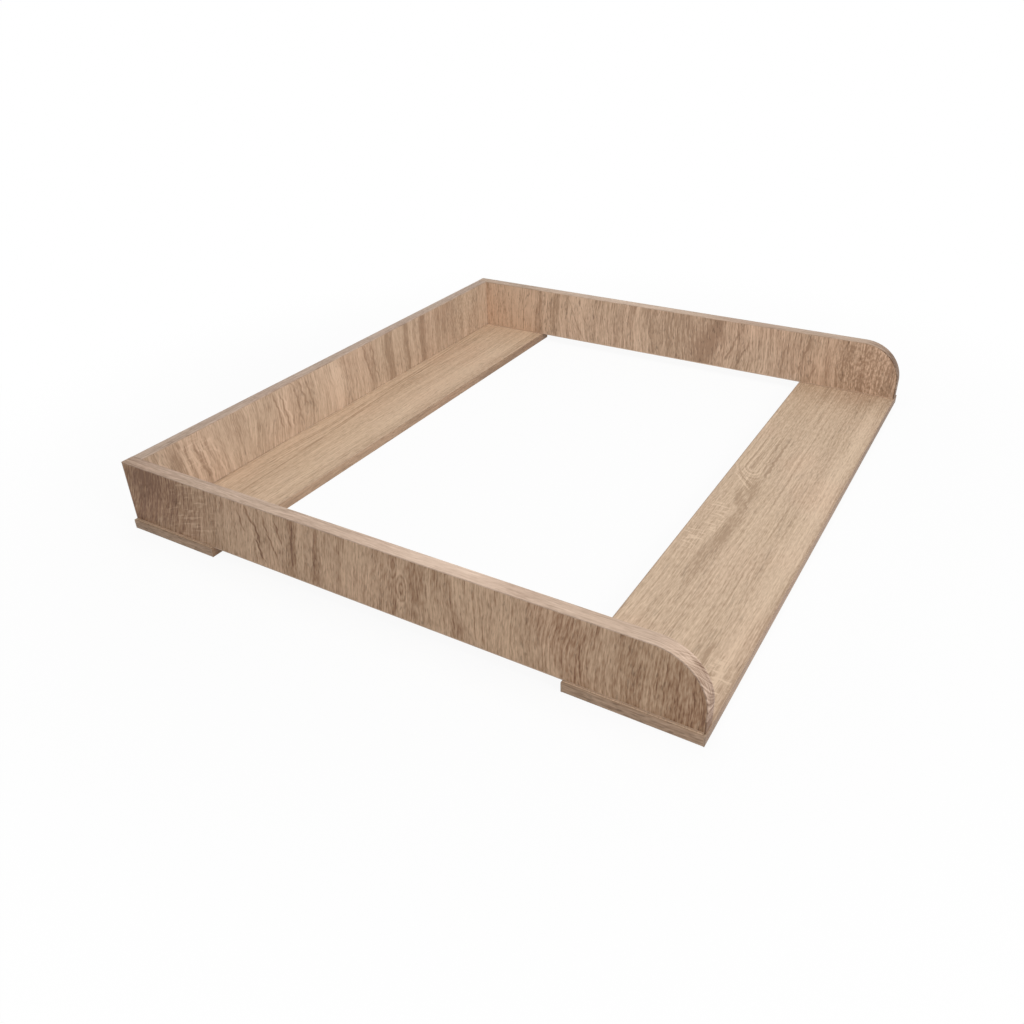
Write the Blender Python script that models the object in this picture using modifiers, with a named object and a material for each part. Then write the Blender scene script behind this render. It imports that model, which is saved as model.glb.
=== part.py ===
"""Changing top tray that stands on a chest of drawers.

Two base boards run across under two side panels and a back panel, and the middle between them
is open. The boards are laminated chipboard with a band glued on each edge that shows, and the
base boards are thinner than the panels. The side panels have one round top corner at the front,
and their band is one strip that runs along the top, round that corner and down the front. Dowels
place the panels, and stepped screws from below hold them down on the base boards.

Metres, +Z up. The origin is on the ground plane, at the middle of the tray's width and depth.
+X is right as seen from the front, and the front faces -Y.
"""

import math

import bmesh
import bpy
from mathutils import Matrix, Vector

# Outer sizes
WIDTH = 0.800
DEPTH = 0.732
HEIGHT = 0.091

# Boards
BASE_BOARD = 0.012
PANEL_BOARD = 0.016
FRONT_BASE_DEPTH = 0.141
REAR_BASE_DEPTH = 0.133
CORNER_RADIUS = 0.055
SIDE_LEDGE = 0.003
REAR_LEDGE = 0.002
FRONT_SETBACK = 0.001

# Edge bands
BAND = 0.001
BAND_ROUND = 0.0005

# Fits: the seat between boards that stand on each other, the glue line under a band, and the
# play round a screw and a dowel
SEAT = 0.0003
GLUE = 0.0003
SCREW_PLAY = 0.0003
DOWEL_PLAY = 0.0003

# Stepped screws with a hexagon socket, driven up from below
SCREW_LENGTH = 0.050
SCREW_HEAD_RADIUS = 0.005
SCREW_HEAD_RIM = 0.0015
SCREW_NECK_RADIUS = 0.0035
SCREW_CORE_RADIUS = 0.0025
SCREW_TIP_RADIUS = 0.0015
SCREW_TIP = 0.003
SOCKET_ACROSS = 0.004
SOCKET_DEPTH = 0.003
HEAD_SINK = 0.0005
BORE_SPARE = 0.002

# Round wooden dowels with chamfered ends
DOWEL_RADIUS = 0.004
DOWEL_LENGTH = 0.030
DOWEL_CHAMFER = 0.001
DOWEL_SPARE = 0.001

# Where the fasteners sit, as shares of the board that they go through
NECK_SHARE = 0.85
DOWEL_SEAT_SHARE = 0.62
FRONT_SCREW_SHARES = (0.25, 0.78)
FRONT_DOWEL_SHARE = 0.52
REAR_SCREW_SHARES = (0.18, 0.66)
REAR_DOWEL_SHARE = 0.42
BACK_SCREW_SHARES = (0.12, 0.50, 0.88)
BACK_DOWEL_SHARES = (0.31, 0.69)
CORNER_DOWEL_SHARES = (0.30, 0.70)

# Facets
CORNER_STEPS = 20
ROUND_STEPS = 3
TURN_STEPS = 16
SOCKET_SIDES = 6
MERGE = 0.00001
CREASE = math.radians(35)

# Worked out from the sizes above
SKIN = BAND + GLUE
RIGHT = WIDTH / 2
FRONT = -DEPTH / 2
REAR = DEPTH / 2
FRONT_BASE_REAR = FRONT + FRONT_BASE_DEPTH
REAR_BASE_FRONT = REAR - REAR_BASE_DEPTH
PANEL_FOOT = BASE_BOARD + SEAT
PANEL_OUTER = RIGHT - SIDE_LEDGE
PANEL_MIDDLE = PANEL_OUTER - PANEL_BOARD / 2
PANEL_INNER = PANEL_OUTER - PANEL_BOARD
PANEL_FRONT = FRONT + FRONT_SETBACK
PANEL_REAR = REAR - REAR_LEDGE
BACK_MIDDLE = PANEL_REAR - PANEL_BOARD / 2
BACK_HALF_LENGTH = PANEL_INNER - SEAT
ARC_Y = PANEL_FRONT + CORNER_RADIUS
ARC_Z = HEIGHT - CORNER_RADIUS
NECK_LENGTH = BASE_BOARD * NECK_SHARE
BASE_DOWEL_SEAT = BASE_BOARD * DOWEL_SEAT_SHARE
PANEL_DOWEL_SEAT = PANEL_BOARD * DOWEL_SEAT_SHARE

X_AXIS = Vector((1, 0, 0))
Y_AXIS = Vector((0, 1, 0))
Z_AXIS = Vector((0, 0, 1))

# Colours, roughness and metallic value
PANEL_OAK = ((0.36, 0.25, 0.17), 0.55, 0.0)
BASE_OAK = ((0.45, 0.34, 0.24), 0.55, 0.0)
BAND_OAK = ((0.50, 0.38, 0.29), 0.50, 0.0)
ZINC = ((0.62, 0.62, 0.60), 0.35, 1.0)
BEECH = ((0.62, 0.46, 0.30), 0.70, 0.0)


def clear_scene():
    """Remove every object that the scene holds."""
    for obj in list(bpy.data.objects):
        bpy.data.objects.remove(obj, do_unlink=True)


def new_collection(name):
    """Return a new collection linked to the scene."""
    collection = bpy.data.collections.new(name)
    bpy.context.scene.collection.children.link(collection)
    return collection


def link_part(obj, look):
    """Put a finished piece in the tray's collection with a material of its own."""
    colour, roughness, metallic = look
    material = bpy.data.materials.new(obj.name)
    material.use_nodes = True
    shader = material.node_tree.nodes["Principled BSDF"]
    shader.inputs["Base Color"].default_value = (*colour, 1.0)
    shader.inputs["Roughness"].default_value = roughness
    shader.inputs["Metallic"].default_value = metallic
    if not obj.data.materials:
        obj.data.materials.append(None)
    obj.material_slots[0].link = "OBJECT"
    obj.material_slots[0].material = material
    PARTS.objects.link(obj)


def new_object(name, mesh, location=(0, 0, 0), turn=None):
    """Return an object that carries a mesh, at a place and a rotation matrix."""
    obj = bpy.data.objects.new(name, mesh)
    obj.location = location
    if turn is not None:
        obj.rotation_euler = turn.to_euler()
    return obj


def shade(mesh):
    """Shade a mesh smooth up to the crease angle."""
    mesh.shade_smooth()
    mesh.set_sharp_from_angle(angle=CREASE)


def evaluated_mesh(obj, name):
    """Return the welded mesh of an object as its modifiers or its curve leave it."""
    bpy.context.scene.collection.objects.link(obj)
    bpy.context.view_layer.update()
    graph = bpy.context.evaluated_depsgraph_get()
    mesh = bpy.data.meshes.new_from_object(obj.evaluated_get(graph))
    mesh.name = name
    bm = bmesh.new()
    bm.from_mesh(mesh)
    bmesh.ops.remove_doubles(bm, verts=bm.verts, dist=MERGE)
    bm.to_mesh(mesh)
    bm.free()
    bpy.data.objects.remove(obj, do_unlink=True)
    shade(mesh)
    return mesh


def box(name, low, high):
    """Return a block between two opposite corners."""
    low = Vector(low)
    high = Vector(high)
    mesh = bpy.data.meshes.new(name)
    bm = bmesh.new()
    bmesh.ops.create_cube(bm, size=1.0)
    bmesh.ops.scale(bm, verts=bm.verts, vec=high - low)
    bm.to_mesh(mesh)
    bm.free()
    return new_object(name, mesh, (low + high) / 2)


def turned_mesh(name, profile, socket=None):
    """Revolve a profile of (radius, height) points, listed from top to bottom, about Z."""
    mesh = bpy.data.meshes.new(name)
    bm = bmesh.new()
    verts = [bm.verts.new((radius, 0, height)) for radius, height in profile]
    for pair in zip(verts, verts[1:]):
        bm.edges.new(pair)
    bm.to_mesh(mesh)
    bm.free()
    obj = new_object(name, mesh)
    turn = obj.modifiers.new("turn", "SCREW")
    turn.axis = "Z"
    turn.angle = 2 * math.pi
    turn.steps = TURN_STEPS
    turn.render_steps = TURN_STEPS
    turn.use_merge_vertices = True
    turn.merge_threshold = MERGE
    if socket is not None:
        cut(obj, socket)
    return evaluated_mesh(obj, name)


def cut(obj, cutter):
    """Cut one object out of another."""
    boolean = obj.modifiers.new(cutter.name, "BOOLEAN")
    boolean.operation = "DIFFERENCE"
    boolean.solver = "EXACT"
    boolean.object = cutter


def add_cutter(name, mesh, location, turn=None):
    """Return a hidden wire-frame cutter."""
    obj = new_object(name, mesh, location, turn)
    obj.hide_render = True
    obj.display_type = "WIRE"
    CUTTERS.objects.link(obj)
    return obj


def band_profile(width):
    """Return a band's cross-section: glued side at -BAND, outer corners rounded."""
    points = [(-width / 2, -BAND)]
    for side, start in ((-1, math.pi), (1, math.pi / 2)):
        centre = side * (width / 2 - BAND_ROUND)
        for step in range(ROUND_STEPS + 1):
            angle = start - math.pi / 2 * step / ROUND_STEPS
            across = centre + BAND_ROUND * math.cos(angle)
            out = BAND_ROUND * math.sin(angle) - BAND_ROUND
            points.append((across, out))
    points.append((width / 2, -BAND))
    return points


def carry(bm, face, move):
    """Extrude an end face, move its new end by a matrix and return that new end face.

    The old face goes if it has walls on it already, because it would then lie inside.
    """
    inside = any(len(edge.link_faces) > 1 for edge in face.edges)
    grown = bmesh.ops.extrude_face_region(bm, geom=[face])["geom"]
    verts = [item for item in grown if isinstance(item, bmesh.types.BMVert)]
    bmesh.ops.transform(bm, verts=verts, matrix=move)
    if inside:
        bmesh.ops.delete(bm, geom=[face], context="FACES_ONLY")
    return next(item for item in grown if isinstance(item, bmesh.types.BMFace))


def finish_band(bm, name):
    """Return a band's mesh with its faces pointing out."""
    bmesh.ops.recalc_face_normals(bm, faces=bm.faces)
    mesh = bpy.data.meshes.new(name)
    bm.to_mesh(mesh)
    bm.free()
    shade(mesh)
    return mesh


def straight_band(name, middle, along, outward, length, width):
    """Return a straight band whose outer face has its middle at the given point."""
    bm = bmesh.new()
    ends = [bm.verts.new((-length / 2, across, out)) for across, out in band_profile(width)]
    carry(bm, bm.faces.new(ends), Matrix.Translation(X_AXIS * length))
    turn = Matrix((along, outward.cross(along), outward)).transposed()
    return new_object(name, finish_band(bm, name), middle, turn)


def wrapped_band(name, middle_x):
    """Return the strip that runs along a side panel's top, round its corner and down its front."""
    bm = bmesh.new()
    top_run = PANEL_REAR - ARC_Y
    front_run = ARC_Z - PANEL_FOOT
    ends = [
        bm.verts.new((across, top_run, CORNER_RADIUS + out)) for across, out in band_profile(PANEL_BOARD)
    ]
    face = carry(bm, bm.faces.new(ends), Matrix.Translation(Y_AXIS * -top_run))
    for _ in range(CORNER_STEPS):
        face = carry(bm, face, Matrix.Rotation(math.pi / 2 / CORNER_STEPS, 4, "X"))
    carry(bm, face, Matrix.Translation(Z_AXIS * -front_run))
    return new_object(name, finish_band(bm, name), (middle_x, ARC_Y, ARC_Z))


def side_panel(name, middle_x):
    """Return a side panel's core: a flat outline with one round corner."""
    front = PANEL_FRONT + SKIN
    rear = PANEL_REAR - SKIN
    foot = PANEL_FOOT + SKIN
    top = HEIGHT - SKIN
    radius = CORNER_RADIUS - SKIN
    points = [(front, foot), (rear, foot), (rear, top)]
    for step in range(CORNER_STEPS + 1):
        angle = math.pi / 2 * (1 + step / CORNER_STEPS)
        points.append((ARC_Y + radius * math.cos(angle), ARC_Z + radius * math.sin(angle)))
    curve = bpy.data.curves.new(name, "CURVE")
    curve.dimensions = "2D"
    curve.fill_mode = "BOTH"
    curve.extrude = PANEL_BOARD / 2
    outline = curve.splines.new("POLY")
    outline.points.add(len(points) - 1)
    outline.use_cyclic_u = True
    for point, (y, z) in zip(outline.points, points):
        point.co = (y, z, 0, 1)
    mesh = evaluated_mesh(new_object(name, curve), name)
    turn = Matrix((Y_AXIS, Z_AXIS, X_AXIS)).transposed()
    return new_object(name, mesh, (middle_x, 0, 0), turn)


def screw_profile():
    """Return half the section of a stepped screw, from its tip down to its head."""
    cone = SCREW_HEAD_RADIUS - SCREW_NECK_RADIUS
    step = SCREW_NECK_RADIUS - SCREW_CORE_RADIUS
    neck_end = NECK_LENGTH - HEAD_SINK
    return [
        (0, SCREW_LENGTH),
        (SCREW_TIP_RADIUS, SCREW_LENGTH),
        (SCREW_CORE_RADIUS, SCREW_LENGTH - SCREW_TIP),
        (SCREW_CORE_RADIUS, neck_end + step),
        (SCREW_NECK_RADIUS, neck_end),
        (SCREW_NECK_RADIUS, SCREW_HEAD_RIM + cone),
        (SCREW_HEAD_RADIUS, SCREW_HEAD_RIM),
        (SCREW_HEAD_RADIUS, 0),
        (0, 0),
    ]


def bore_profile():
    """Return half the section of the stepped bore: the screw's own steps with play all round."""
    cone = SCREW_HEAD_RADIUS - SCREW_NECK_RADIUS
    step = SCREW_NECK_RADIUS - SCREW_CORE_RADIUS
    neck_end = NECK_LENGTH - HEAD_SINK
    head = SCREW_HEAD_RADIUS + SCREW_PLAY
    neck = SCREW_NECK_RADIUS + SCREW_PLAY
    core = SCREW_CORE_RADIUS + SCREW_PLAY
    below = -HEAD_SINK - BORE_SPARE
    return [
        (0, SCREW_LENGTH + BORE_SPARE),
        (core, SCREW_LENGTH + BORE_SPARE),
        (core, neck_end + step + SCREW_PLAY),
        (neck, neck_end + SCREW_PLAY),
        (neck, SCREW_HEAD_RIM + cone + SCREW_PLAY),
        (head, SCREW_HEAD_RIM + SCREW_PLAY),
        (head, below),
        (0, below),
    ]


def dowel_profile():
    """Return half the section of a dowel, its middle at height zero."""
    half = DOWEL_LENGTH / 2
    return [
        (0, half),
        (DOWEL_RADIUS - DOWEL_CHAMFER, half),
        (DOWEL_RADIUS, half - DOWEL_CHAMFER),
        (DOWEL_RADIUS, DOWEL_CHAMFER - half),
        (DOWEL_RADIUS - DOWEL_CHAMFER, -half),
        (0, -half),
    ]


def dowel_bore_profile():
    """Return half the section of a dowel's blind bore, with spare room past both ends."""
    half = DOWEL_LENGTH / 2 + DOWEL_SPARE
    radius = DOWEL_RADIUS + DOWEL_PLAY
    return [(0, half), (radius, half), (radius, -half), (0, -half)]


def screw_mesh():
    """Return the screw's mesh with its hexagon socket."""
    mesh = bpy.data.meshes.new("socket")
    bm = bmesh.new()
    radius = SOCKET_ACROSS / 2 / math.cos(math.pi / SOCKET_SIDES)
    bmesh.ops.create_cone(
        bm,
        cap_ends=True,
        segments=SOCKET_SIDES,
        radius1=radius,
        radius2=radius,
        depth=2 * SOCKET_DEPTH,
    )
    bm.to_mesh(mesh)
    bm.free()
    socket = add_cutter("screw_socket_cutter", mesh, (0, 0, 0))
    return turned_mesh("screw", screw_profile(), socket)


def share_of(low, high, share):
    """Return the place between two limits that a share gives."""
    return low + (high - low) * share


def base_boards():
    """Make the two base boards with a band on each of their four edges."""
    boards = {}
    for name, front, rear in (
        ("front_base", FRONT, FRONT_BASE_REAR),
        ("rear_base", REAR_BASE_FRONT, REAR),
    ):
        board = box(
            name + "_board",
            (-RIGHT + SKIN, front + SKIN, 0),
            (RIGHT - SKIN, rear - SKIN, BASE_BOARD),
        )
        link_part(board, BASE_OAK)
        boards[name] = board
        middle_y = (front + rear) / 2
        middle_z = BASE_BOARD / 2
        end_length = rear - front - 2 * SKIN
        for edge, middle, along, outward, length in (
            ("front", (0, front, middle_z), X_AXIS, -Y_AXIS, WIDTH),
            ("rear", (0, rear, middle_z), -X_AXIS, Y_AXIS, WIDTH),
            ("left", (-RIGHT, middle_y, middle_z), -Y_AXIS, -X_AXIS, end_length),
            ("right", (RIGHT, middle_y, middle_z), Y_AXIS, X_AXIS, end_length),
        ):
            band_name = f"{name}_{edge}_band"
            band = straight_band(band_name, middle, along, outward, length, BASE_BOARD)
            link_part(band, BAND_OAK)
    return boards


def side_panels():
    """Make the two side panels with their wrapped, rear and bottom bands."""
    panels = {}
    for name, side in (("left", -1), ("right", 1)):
        middle_x = side * PANEL_MIDDLE
        panel = side_panel(f"{name}_side_panel", middle_x)
        link_part(panel, PANEL_OAK)
        link_part(wrapped_band(f"{name}_side_top_band", middle_x), BAND_OAK)
        rear_top = HEIGHT - SKIN
        rear_band = straight_band(
            f"{name}_side_rear_band",
            (middle_x, PANEL_REAR, (PANEL_FOOT + rear_top) / 2),
            Z_AXIS,
            Y_AXIS,
            rear_top - PANEL_FOOT,
            PANEL_BOARD,
        )
        link_part(rear_band, BAND_OAK)
        foot_front = PANEL_FRONT + SKIN
        foot_rear = PANEL_REAR - SKIN
        foot_band = straight_band(
            f"{name}_side_bottom_band",
            (middle_x, (foot_front + foot_rear) / 2, PANEL_FOOT),
            Y_AXIS,
            -Z_AXIS,
            foot_rear - foot_front,
            PANEL_BOARD,
        )
        link_part(foot_band, BAND_OAK)
        panels[name] = (panel, foot_band)
    return panels


def back_panel():
    """Make the back panel, which stands between the side panels, with its top band."""
    panel = box(
        "back_panel",
        (-BACK_HALF_LENGTH, PANEL_REAR - PANEL_BOARD, PANEL_FOOT),
        (BACK_HALF_LENGTH, PANEL_REAR, HEIGHT - SKIN),
    )
    link_part(panel, PANEL_OAK)
    band = straight_band(
        "back_top_band",
        (0, BACK_MIDDLE, HEIGHT),
        X_AXIS,
        Z_AXIS,
        2 * BACK_HALF_LENGTH,
        PANEL_BOARD,
    )
    link_part(band, BAND_OAK)
    return panel


def place_screw(name, x, y, boards):
    """Drive a screw up at a place and cut its stepped bore in the boards that it holds."""
    screw = new_object(name, MESHES["screw"], (x, y, HEAD_SINK))
    link_part(screw, ZINC)
    bore = add_cutter(name + "_bore", MESHES["bore"], (x, y, HEAD_SINK))
    for board in boards:
        cut(board, bore)


def place_dowel(name, middle, turn, boards):
    """Seat a dowel at a place and cut its bore in the boards that it joins."""
    link_part(new_object(name, MESHES["dowel"], middle, turn), BEECH)
    bore = add_cutter(name + "_bore", MESHES["dowel_bore"], middle, turn)
    for board in boards:
        cut(board, bore)


def fasten_sides(boards, panels):
    """Fasten both side panels on both base boards."""
    middle_z = BASE_BOARD - BASE_DOWEL_SEAT + DOWEL_LENGTH / 2
    for side_name, side in (("left", -1), ("right", 1)):
        x = side * PANEL_MIDDLE
        for base, low, high, screw_shares, dowel_share in (
            ("front_base", FRONT, FRONT_BASE_REAR, FRONT_SCREW_SHARES, FRONT_DOWEL_SHARE),
            ("rear_base", REAR_BASE_FRONT, REAR, REAR_SCREW_SHARES, REAR_DOWEL_SHARE),
        ):
            joined = (boards[base], *panels[side_name])
            place = base.replace("base", side_name)
            for number, share in enumerate(screw_shares, 1):
                place_screw(f"{place}_screw_{number}", x, share_of(low, high, share), joined)
            middle = (x, share_of(low, high, dowel_share), middle_z)
            place_dowel(f"{place}_dowel", middle, None, joined)


def fasten_back(boards, panels, back):
    """Fasten the back panel on the rear base board and between the side panels."""
    joined = (boards["rear_base"], back)
    for number, share in enumerate(BACK_SCREW_SHARES, 1):
        x = share_of(-BACK_HALF_LENGTH, BACK_HALF_LENGTH, share)
        place_screw(f"back_screw_{number}", x, BACK_MIDDLE, joined)
    middle_z = BASE_BOARD - BASE_DOWEL_SEAT + DOWEL_LENGTH / 2
    for number, share in enumerate(BACK_DOWEL_SHARES, 1):
        x = share_of(-BACK_HALF_LENGTH, BACK_HALF_LENGTH, share)
        place_dowel(f"back_dowel_{number}", (x, BACK_MIDDLE, middle_z), None, joined)
    lying = Matrix((Y_AXIS, Z_AXIS, X_AXIS)).transposed()
    for side_name, side in (("left", -1), ("right", 1)):
        x = side * (PANEL_INNER + PANEL_DOWEL_SEAT - DOWEL_LENGTH / 2)
        joined = (back, panels[side_name][0])
        for number, share in enumerate(CORNER_DOWEL_SHARES, 1):
            middle = (x, BACK_MIDDLE, share_of(PANEL_FOOT, HEIGHT, share))
            place_dowel(f"{side_name}_corner_dowel_{number}", middle, lying, joined)


clear_scene()
PARTS = new_collection("changing_top_tray")
CUTTERS = new_collection("cutters")
MESHES = {
    "screw": screw_mesh(),
    "bore": turned_mesh("bore", bore_profile()),
    "dowel": turned_mesh("dowel", dowel_profile()),
    "dowel_bore": turned_mesh("dowel_bore", dowel_bore_profile()),
}
BASES = base_boards()
PANELS = side_panels()
BACK = back_panel()
fasten_sides(BASES, PANELS)
fasten_back(BASES, PANELS, BACK)
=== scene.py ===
"""Looks of the changing top tray: printed oak boards, their edge bands, screws, dowels and a studio.

Every place is in metres in the tray's own frame: X runs along the width, Y from the front to the
back, and Z up from the underside of the base boards.
"""

import math

import bmesh
import bpy
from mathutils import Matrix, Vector


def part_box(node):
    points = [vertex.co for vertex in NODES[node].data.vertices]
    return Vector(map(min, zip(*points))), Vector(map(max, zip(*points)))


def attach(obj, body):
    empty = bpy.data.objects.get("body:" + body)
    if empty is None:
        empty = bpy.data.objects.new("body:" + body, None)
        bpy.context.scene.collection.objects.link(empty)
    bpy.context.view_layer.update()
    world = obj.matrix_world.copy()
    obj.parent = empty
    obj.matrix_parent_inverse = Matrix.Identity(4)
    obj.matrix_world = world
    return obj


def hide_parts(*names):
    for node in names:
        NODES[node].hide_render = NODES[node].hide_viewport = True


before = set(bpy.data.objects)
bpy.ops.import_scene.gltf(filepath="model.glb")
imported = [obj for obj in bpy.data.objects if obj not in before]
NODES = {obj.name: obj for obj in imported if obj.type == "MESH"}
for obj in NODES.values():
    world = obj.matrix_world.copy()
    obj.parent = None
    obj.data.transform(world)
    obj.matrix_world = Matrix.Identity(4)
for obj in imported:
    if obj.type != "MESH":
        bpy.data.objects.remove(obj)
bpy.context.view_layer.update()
X, Y, Z = 0, 1, 2
MM = 0.001


# Node trees

# Sockets of the Mix node that its two colours go in by, and that the mixed one comes out by
MIX_FIRST = 6
MIX_SECOND = 7
MIX_RESULT = 2
NOISE_MIDDLE = 0.5


class Graph:
    """A node tree, with short calls for the maths that the materials share."""

    def __init__(self, tree):
        self.tree = tree

    def feed(self, value, socket):
        """Link a socket, or set a plain value."""
        if isinstance(value, bpy.types.NodeSocket):
            self.tree.links.new(value, socket)
        else:
            socket.default_value = value

    def add(self, kind, **settings):
        """Add a node with the given properties."""
        node = self.tree.nodes.new(kind)
        for name, value in settings.items():
            setattr(node, name, value)
        return node

    def math(self, operation, *values, clamp=False):
        """Return the result of a maths node."""
        node = self.add("ShaderNodeMath", operation=operation, use_clamp=clamp)
        for value, socket in zip(values, node.inputs):
            self.feed(value, socket)
        return node.outputs[0]

    def plus(self, a, b):
        """Return the sum of two values."""
        return self.math("ADD", a, b)

    def minus(self, a, b):
        """Return the first value less the second."""
        return self.math("SUBTRACT", a, b)

    def times(self, a, b):
        """Return the product of two values."""
        return self.math("MULTIPLY", a, b)

    def split(self, vector):
        """Return the three parts of a vector."""
        node = self.add("ShaderNodeSeparateXYZ")
        self.feed(vector, node.inputs[0])
        return node.outputs[0], node.outputs[1], node.outputs[2]

    def join(self, x, y, z):
        """Return a vector made of three values."""
        node = self.add("ShaderNodeCombineXYZ")
        for value, socket in zip((x, y, z), node.inputs):
            self.feed(value, socket)
        return node.outputs[0]

    def noise(self, x, y, z, detail=2.0, roughness=0.5):
        """Return noise about zero, mostly from -0.25 to 0.25, at a place given in cells."""
        node = self.add("ShaderNodeTexNoise", noise_dimensions="3D")
        self.feed(self.join(x, y, z), node.inputs["Vector"])
        node.inputs["Scale"].default_value = 1.0
        node.inputs["Detail"].default_value = detail
        node.inputs["Roughness"].default_value = roughness
        return self.minus(node.outputs[0], NOISE_MIDDLE)

    def ramp(self, value, low, high, to_low=0.0, to_high=1.0):
        """Return a value taken smoothly from one range to another and held at its ends."""
        node = self.add("ShaderNodeMapRange", interpolation_type="SMOOTHSTEP", clamp=True)
        for given, socket in zip((value, low, high, to_low, to_high), node.inputs):
            self.feed(given, socket)
        return node.outputs[0]

    def mix(self, share, a, b, blend="MIX"):
        """Return two colours mixed by a share."""
        node = self.add("ShaderNodeMix", data_type="RGBA", blend_type=blend)
        self.feed(share, node.inputs[0])
        self.feed(a, node.inputs[MIX_FIRST])
        self.feed(b, node.inputs[MIX_SECOND])
        return node.outputs[MIX_RESULT]

    def colours(self, value, stops):
        """Return a colour read from a list of (place, colour) stops."""
        node = self.add("ShaderNodeValToRGB")
        elements = node.color_ramp.elements
        while len(elements) < len(stops):
            # The place is set below
            elements.new(0.5)
        for element, (place, colour) in zip(elements, stops):
            element.position = place
            element.color = (*colour, 1.0)
        self.feed(value, node.inputs[0])
        return node.outputs[0]


SRGB_FOOT = 0.04045
SRGB_FOOT_SLOPE = 12.92
SRGB_OFFSET = 0.055
SRGB_POWER = 2.4


def linear(red, green, blue):
    """Return an 8-bit sRGB colour as linear light."""
    out = []
    for channel in (red, green, blue):
        share = channel / 255
        if share <= SRGB_FOOT:
            out.append(share / SRGB_FOOT_SLOPE)
        else:
            out.append(((share + SRGB_OFFSET) / (1 + SRGB_OFFSET)) ** SRGB_POWER)
    return tuple(out)


def new_material(name):
    """Return a material, its graph and its Principled shader."""
    material = bpy.data.materials.new(name)
    material.use_nodes = True
    graph = Graph(material.node_tree)
    shader = material.node_tree.nodes["Principled BSDF"]
    return material, graph, shader


# The grain

# Bends of the grain: cells per metre across and along, offset and detail of the noise, and swing
BENDS = (
    ((7.0, 6.0), 0.0, 1.0, 30.0 * MM),
    ((46.0, 44.0), 3.1, 1.5, 2.0 * MM),
    ((170.0, 120.0), 5.3, 1.0, 0.7 * MM),
)
FAN_FROM = -0.360
FAN_MIDDLE = 0.050
WEAVE_ROUGHNESS = 0.55

# Layers of the grain: cells per metre across and along, and offset of the noise
BROAD = (34.0, 1.6), 11.3
VEINS = (150.0, 6.0), 14.7
STREAKS = (400.0, 16.0), 17.9
FIBRES = (850.0, 50.0), 23.3
DASHES = (560.0, 105.0), 41.9
PITS = (470.0, 95.0), 31.7
DASH_DETAIL = 1.5
PIT_DETAIL = 1.0


class Grain(Graph):
    """A graph that knows its place across (u) and along (v) the grain, in metres.

    The bent place is the place across a grain that sways and may fan out. Each kind of noise has an
    offset of its own, so that no two of them are alike.
    """

    def __init__(self, tree, u, v, seed, sway, fan, stretch):
        super().__init__(tree)
        self.u = u
        self.v = v
        self.seed = seed
        self.stretch = stretch
        bend = 0.0
        for count, offset, detail, swing in BENDS:
            bend = self.plus(bend, self.times(self.cells(u, v, count, offset, detail), swing * sway))
        if fan:
            spread = self.times(self.minus(u, FAN_FROM), self.minus(v, FAN_MIDDLE))
            bend = self.plus(bend, self.times(spread, fan))
        self.bent = self.plus(u, bend)
        self.broad = self.weave(*BROAD)
        self.streaks = self.weave(*STREAKS)
        self.fibres = self.weave(*FIBRES)

    def cells(self, across, along, count, offset, detail=2.0):
        """Return noise with the given counts of cells per metre across and along."""
        place = self.times(across, count[0]), self.times(along, count[1])
        return self.noise(*place, self.seed + offset, detail)

    def weave(self, count, offset, detail=2.0, stretched=True):
        """Return noise that follows the bent grain, and that the board's stretch can lengthen."""
        stretch = self.stretch if stretched else 1.0
        place = self.times(self.bent, count[0]), self.times(self.v, count[1] / stretch)
        return self.noise(*place, self.seed + offset, detail, WEAVE_ROUGHNESS)

    def patch(self, at, size, lean=0.0):
        """Return a smooth patch, 1 at its centre and 0 at its elliptical rim."""
        rise = self.minus(self.v, at[1])
        off = self.minus(self.bent, at[0])
        if lean:
            off = self.minus(off, self.times(rise, lean))
        off = self.times(off, 1.0 / size[0])
        rise = self.times(rise, 1.0 / size[1])
        return self.ramp(self.plus(self.times(off, off), self.times(rise, rise)), 0.0, 1.0, 1.0, 0.0)


# Figures of the oak decor, and marks of painted light and shade

# Each returns a function of the grain that gives what the figure adds to the tone. Places and sizes
# are (across, along) the grain, in metres.

# Takes noise to the range from about -1 to 1
NOISE_GAIN = 4.0


def zone(at, size, tone, lean=0.0):
    """A soft patch that is darker or lighter than its surroundings."""
    return lambda grain: grain.times(grain.patch(at, size, lean), tone)


RING_OFFSET = 61.0
WOBBLE_OFFSET = 57.0
WOBBLE_CELLS = (130.0, 60.0)
WOBBLE = 1.6 * MM
# Shares of a ring figure's reach
RING_FADE = 0.6
RING_END = 1.1
RING_HALF_WIDTH = 2.0
RING_HALF_LENGTH = 2.2


def rings(at, reach, tone, spacing, opens=0, stretch=0.35, skew=0.0, length=None):
    """Growth lines nested round a heart: closed, or an arch open towards one end of the grain."""
    def draw(grain):
        off = grain.minus(grain.bent, at[0])
        rise = grain.minus(grain.v, at[1])
        if skew:
            rise = grain.minus(rise, grain.times(off, skew))
        if opens:
            rise = grain.math("MINIMUM", grain.times(rise, opens), 0.0)
        rise = grain.times(rise, stretch)
        radius = grain.math("SQRT", grain.plus(grain.times(off, off), grain.times(rise, rise)))
        wobble = grain.cells(grain.u, grain.v, WOBBLE_CELLS, WOBBLE_OFFSET)
        radius = grain.plus(radius, grain.times(wobble, WOBBLE))
        place = grain.times(radius, 1.0 / spacing), 0.0
        lines = grain.noise(*place, grain.seed + RING_OFFSET, detail=1.0)
        near = grain.ramp(radius, reach * RING_FADE, reach * RING_END, 1.0, 0.0)
        size = (reach * RING_HALF_WIDTH, length or reach * RING_HALF_LENGTH / stretch)
        whole = grain.times(grain.patch(at, size), tone * NOISE_GAIN)
        return grain.times(grain.times(lines, near), whole)
    return draw


SWING_OFFSET = 53.0
SWING_CELLS = 70.0
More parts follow.
